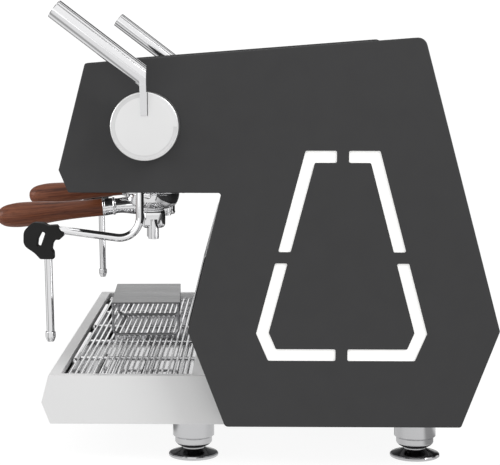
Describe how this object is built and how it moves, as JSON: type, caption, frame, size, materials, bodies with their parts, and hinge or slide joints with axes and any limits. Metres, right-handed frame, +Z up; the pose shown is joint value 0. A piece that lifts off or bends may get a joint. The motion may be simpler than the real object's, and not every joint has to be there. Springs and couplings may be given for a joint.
{
  "type": "espresso machine",
  "caption": "Commercial espresso machine with group heads, wooden-handled portafilters, steam wands and levers, lit side panels and a drip tray on levelling feet.",
  "frame": {"origin": "on the counter, under the centre of the machine's overall box", "axes": "+X is the machine's width, towards the side panel on the right of someone standing at the working side; -Y is the working side; +Z is up"},
  "size_m": [0.915, 0.662, 0.5889],
  "materials": {
    "panel_paint": "matt dark grey powder coat",
    "tray_paint": "satin light grey",
    "stainless": "brushed stainless steel",
    "wire": "polished stainless wire",
    "chrome": "bright chrome",
    "walnut": "oiled walnut",
    "grip_rubber": "matt black rubber",
    "gasket_rubber": "black seal rubber",
    "diffuser": "opal light diffuser",
    "black_plastic": "fine-textured black",
    "button_plastic": "satin white key",
    "zinc": "zinc-plated sheet",
    "brass": "machined brass",
    "copper": "copper tube and boiler",
    "motor_paint": "black enamel",
    "needle_paint": "red"
  },
  "bodies": {
    "machine": {"side_panels": "panel_paint", "light_diffusers": "diffuser", "side_walls": "zinc", "front_fascia": "stainless", "head_floor": "panel_paint", "splash_panel": "stainless", "cup_tray": "stainless", "rear_cover": "stainless", "cover_screws": "stainless", "base_frame": "zinc", "bottom_pan": "zinc", "levelling_feet": "chrome", "drip_tray_frame": "tray_paint", "group_heads": "chrome", "group_gaskets": "gasket_rubber", "shower_screens": "stainless", "steam_valves": "brass", "swivel_nuts": "chrome", "control_bezels": "black_plastic", "gauge_case": "chrome", "group_beam": "zinc", "boiler": "copper", "heating_element": "brass", "boiler_cradle": "zinc", "boiler_pipes": "copper", "safety_valve": "brass", "solenoid_valves": "motor_paint", "pump_motor": "motor_paint", "pump_head": "brass", "control_box": "black_plastic"},
    "drip_pan": {"drip_pan": "stainless"},
    "drip_grille": {"drip_grille": "wire"},
    "cup_stand": {"cup_stand": "wire"},
    "portafilter_right": {"portafilter_right": "chrome", "filter_basket_right": "stainless", "portafilter_handle_right": "walnut"},
    "steam_lever_right": {"valve_disc_right": "chrome", "steam_lever_right": "chrome"},
    "wand_swivel_right": {"wand_swivel_right": "chrome"},
    "steam_wand_right": {"steam_wand_right": "chrome", "wand_grip_right": "grip_rubber"},
    "portafilter_left": {"portafilter_left": "chrome", "filter_basket_left": "stainless", "portafilter_handle_left": "walnut"},
    "steam_lever_left": {"valve_disc_left": "chrome", "steam_lever_left": "chrome"},
    "wand_swivel_left": {"wand_swivel_left": "chrome"},
    "steam_wand_left": {"steam_wand_left": "chrome", "wand_grip_left": "grip_rubber"},
    "hot_water_spout": {"hot_water_spout": "chrome"},
    "brew_button_right_1": {"brew_button_right_1": "button_plastic"},
    "brew_button_right_2": {"brew_button_right_2": "button_plastic"},
    "brew_button_right_3": {"brew_button_right_3": "button_plastic"},
    "brew_button_left_1": {"brew_button_left_1": "button_plastic"},
    "brew_button_left_2": {"brew_button_left_2": "button_plastic"},
    "brew_button_left_3": {"brew_button_left_3": "button_plastic"},
    "hot_water_button": {"hot_water_button": "button_plastic"},
    "gauge_needle": {"gauge_needle": "needle_paint"},
    "power_switch": {"power_switch": "black_plastic"},
    "pump_shaft": {"pump_shaft": "zinc"}
  },
  "joints": [
    {"name": "drip_pan_lift", "type": "slide", "parent": "machine", "child": "drip_pan", "axis": [0, 0, 1], "range_m": [0, 0.015]},
    {"name": "drip_grille_lift", "type": "slide", "parent": "drip_pan", "child": "drip_grille", "axis": [0, 0, 1], "range_m": [0, 0.02]},
    {"name": "cup_stand_lift", "type": "slide", "parent": "drip_grille", "child": "cup_stand", "axis": [0, 0, 1], "range_m": [0, 0.03]},
    {"name": "portafilter_right_turn", "type": "hinge", "parent": "machine", "child": "portafilter_right", "pos_m": [0.157, -0.119, 0.34], "axis": [0, 0, 1], "range_deg": [-55, 0]},
    {"name": "steam_lever_right_turn", "type": "hinge", "parent": "machine", "child": "steam_lever_right", "pos_m": [0.41, -0.111, 0.437], "axis": [1, 0, 0], "range_deg": [0, 40]},
    {"name": "wand_right_swing", "type": "hinge", "parent": "machine", "child": "wand_swivel_right", "pos_m": [0.28, -0.128, 0.358], "axis": [0, 0, 1], "range_deg": [-20, 65]},
    {"name": "wand_right_tilt", "type": "hinge", "parent": "wand_swivel_right", "child": "steam_wand_right", "pos_m": [0.28, -0.128, 0.358], "axis": [-1, 0, 0], "range_deg": [-6, 14]},
    {"name": "portafilter_left_turn", "type": "hinge", "parent": "machine", "child": "portafilter_left", "pos_m": [-0.157, -0.119, 0.34], "axis": [0, 0, 1], "range_deg": [-55, 0]},
    {"name": "steam_lever_left_turn", "type": "hinge", "parent": "machine", "child": "steam_lever_left", "pos_m": [-0.41, -0.111, 0.437], "axis": [1, 0, 0], "range_deg": [0, 40]},
    {"name": "wand_left_swing", "type": "hinge", "parent": "machine", "child": "wand_swivel_left", "pos_m": [-0.28, -0.128, 0.358], "axis": [0, 0, 1], "range_deg": [-45, 45]},
    {"name": "wand_left_tilt", "type": "hinge", "parent": "wand_swivel_left", "child": "steam_wand_left", "pos_m": [-0.28, -0.128, 0.358], "axis": [-0.9063, 0.4226, 0], "range_deg": [-6, 14]},
    {"name": "hot_water_spout_turn", "type": "hinge", "parent": "machine", "child": "hot_water_spout", "pos_m": [0, -0.101, 0.36], "axis": [0, 0, 1], "range_deg": [-90, 90]},
    {"name": "brew_button_right_1_press", "type": "slide", "parent": "machine", "child": "brew_button_right_1", "axis": [0, 0.9722, -0.234], "range_m": [0, 0.0012], "stiffness_N_per_m": 300, "springref_m": -0.002},
    {"name": "brew_button_right_2_press", "type": "slide", "parent": "machine", "child": "brew_button_right_2", "axis": [0, 0.9722, -0.234], "range_m": [0, 0.0012], "stiffness_N_per_m": 300, "springref_m": -0.002},
    {"name": "brew_button_right_3_press", "type": "slide", "parent": "machine", "child": "brew_button_right_3", "axis": [0, 0.9722, -0.234], "range_m": [0, 0.0012], "stiffness_N_per_m": 300, "springref_m": -0.002},
    {"name": "brew_button_left_1_press", "type": "slide", "parent": "machine", "child": "brew_button_left_1", "axis": [0, 0.9722, -0.234], "range_m": [0, 0.0012], "stiffness_N_per_m": 300, "springref_m": -0.002},
    {"name": "brew_button_left_2_press", "type": "slide", "parent": "machine", "child": "brew_button_left_2", "axis": [0, 0.9722, -0.234], "range_m": [0, 0.0012], "stiffness_N_per_m": 300, "springref_m": -0.002},
    {"name": "brew_button_left_3_press", "type": "slide", "parent": "machine", "child": "brew_button_left_3", "axis": [0, 0.9722, -0.234], "range_m": [0, 0.0012], "stiffness_N_per_m": 300, "springref_m": -0.002},
    {"name": "hot_water_button_press", "type": "slide", "parent": "machine", "child": "hot_water_button", "axis": [0, 0.9722, -0.234], "range_m": [0, 0.0012], "stiffness_N_per_m": 300, "springref_m": -0.002},
    {"name": "gauge_needle_turn", "type": "hinge", "parent": "machine", "child": "gauge_needle", "pos_m": [0, -0.20081, 0.45272], "axis": [0, 0.9722, -0.234], "range_deg": [0, 260], "stiffness_Nm_per_rad": 0.002},
    {"name": "power_switch_rock", "type": "hinge", "parent": "machine", "child": "power_switch", "pos_m": [-0.305, -0.19883, 0.44813], "axis": [1, 0, 0], "range_deg": [-16, 0]},
    {"name": "pump_shaft_spin", "type": "hinge", "parent": "machine", "child": "pump_shaft", "pos_m": [0.086, 0.205, 0.118], "axis": [1, 0, 0], "continuous": true}
  ]
}
